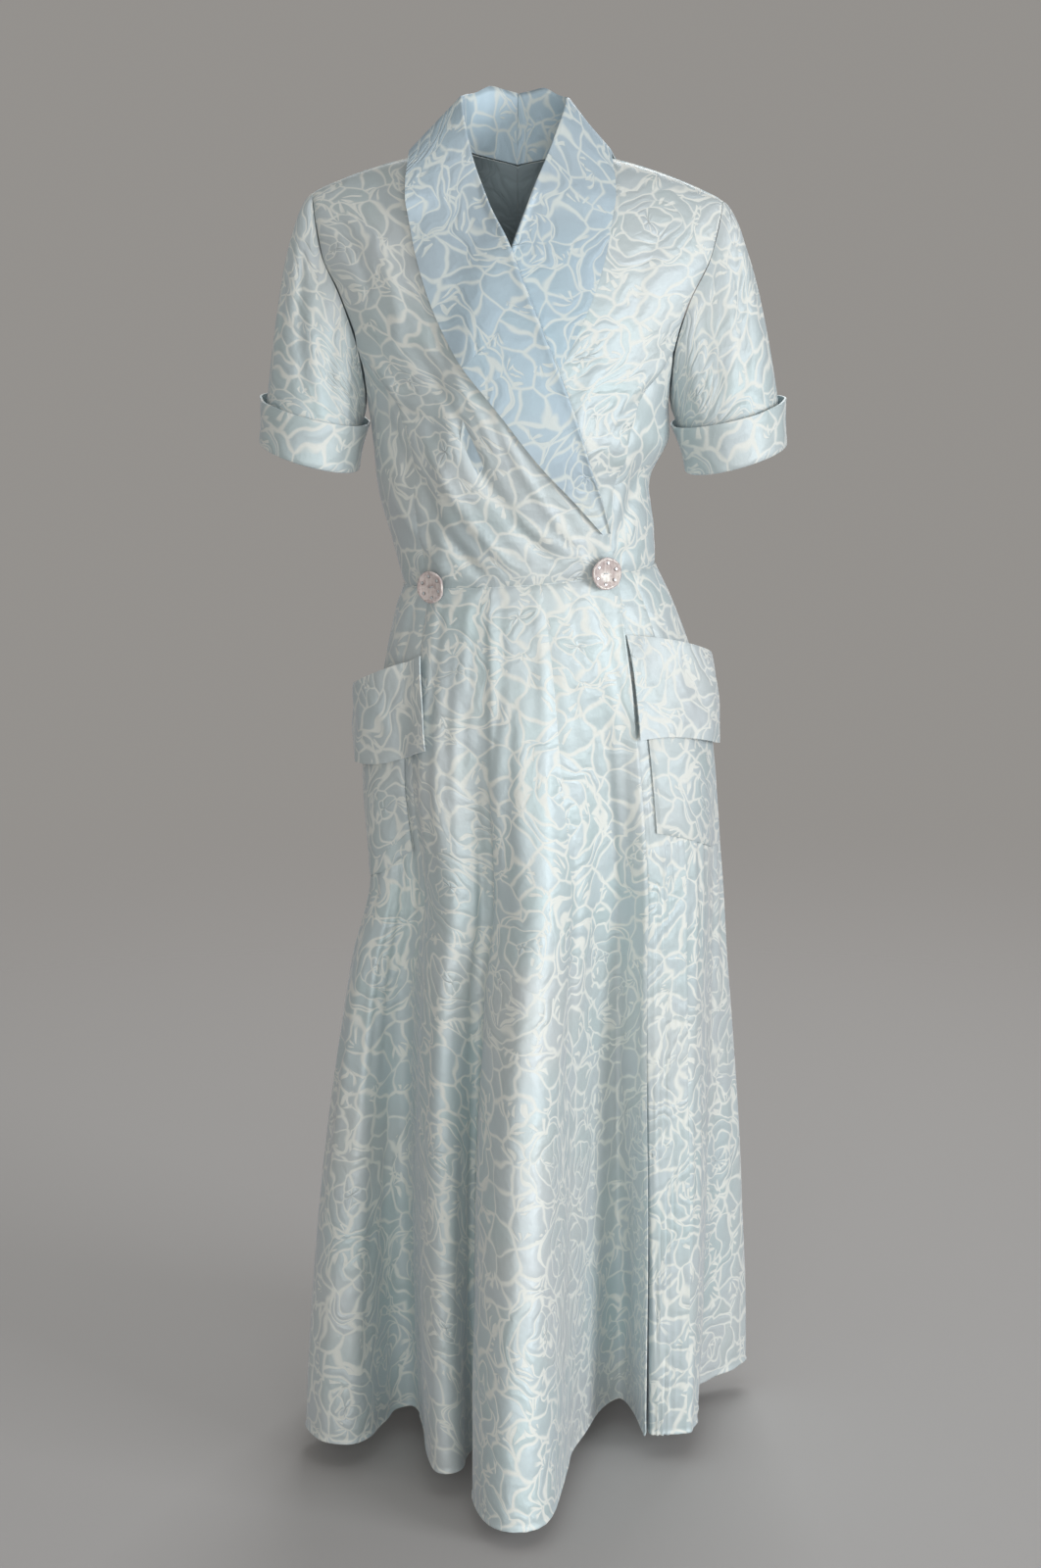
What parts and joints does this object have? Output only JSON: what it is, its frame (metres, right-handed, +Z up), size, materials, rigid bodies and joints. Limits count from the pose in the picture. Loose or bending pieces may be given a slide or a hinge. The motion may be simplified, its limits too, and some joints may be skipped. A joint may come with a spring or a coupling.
{
  "type": "dressing gown",
  "caption": "Floor-length wrap dressing gown in figured satin: shawl collar, short cuffed sleeves, fluted skirt, cuffed patch pockets and shell buttons, worn hollow.",
  "frame": {"origin": "base of the neck, midway between the two points where shoulder and neck meet, where the wearer's shoulders hold the gown", "axes": "+Z up, -Y the gown's front, +X the wearer's left"},
  "size_m": [0.5475, 0.5667, 1.4436],
  "materials": {
    "brocade": "pale ice-blue satin with raised ivory outlined flowers, soft two-tone sheen, slightly puckered",
    "collar_brocade": "the same figured satin, a little bluer where the collar keeps its colour",
    "shell": "pale pink pearly shell, polished, dished with a rounded uneven rim",
    "rhinestone": "small clear foil-backed stones"
  },
  "bodies": {
    "root": {"bodice_back_right": "brocade", "bodice_back_left": "brocade", "bodice_right_front": "brocade", "bodice_right_side_front": "brocade", "bodice_left_front": "brocade", "bodice_left_side_front": "brocade", "sleeve_right": "brocade", "sleeve_left": "brocade", "cuff_right": "brocade", "cuff_left": "brocade", "skirt_right_side_front": "brocade", "skirt_right_side": "brocade", "skirt_back_right": "brocade", "skirt_back_left": "brocade", "skirt_left_side": "brocade", "skirt_right_front": "brocade", "skirt_left_front": "brocade", "pocket_right": "brocade", "pocket_cuff_right": "brocade", "pocket_left": "brocade", "pocket_cuff_left": "brocade", "collar_right": "collar_brocade", "collar_left": "collar_brocade", "button_right": "shell", "button_left": "shell", "rhinestone_right_1": "rhinestone", "rhinestone_right_2": "rhinestone", "rhinestone_right_3": "rhinestone", "rhinestone_right_4": "rhinestone", "rhinestone_right_5": "rhinestone", "rhinestone_right_6": "rhinestone", "rhinestone_left_1": "rhinestone", "rhinestone_left_2": "rhinestone", "rhinestone_left_3": "rhinestone", "rhinestone_left_4": "rhinestone", "rhinestone_left_5": "rhinestone", "rhinestone_left_6": "rhinestone"}
  },
  "joints": []
}
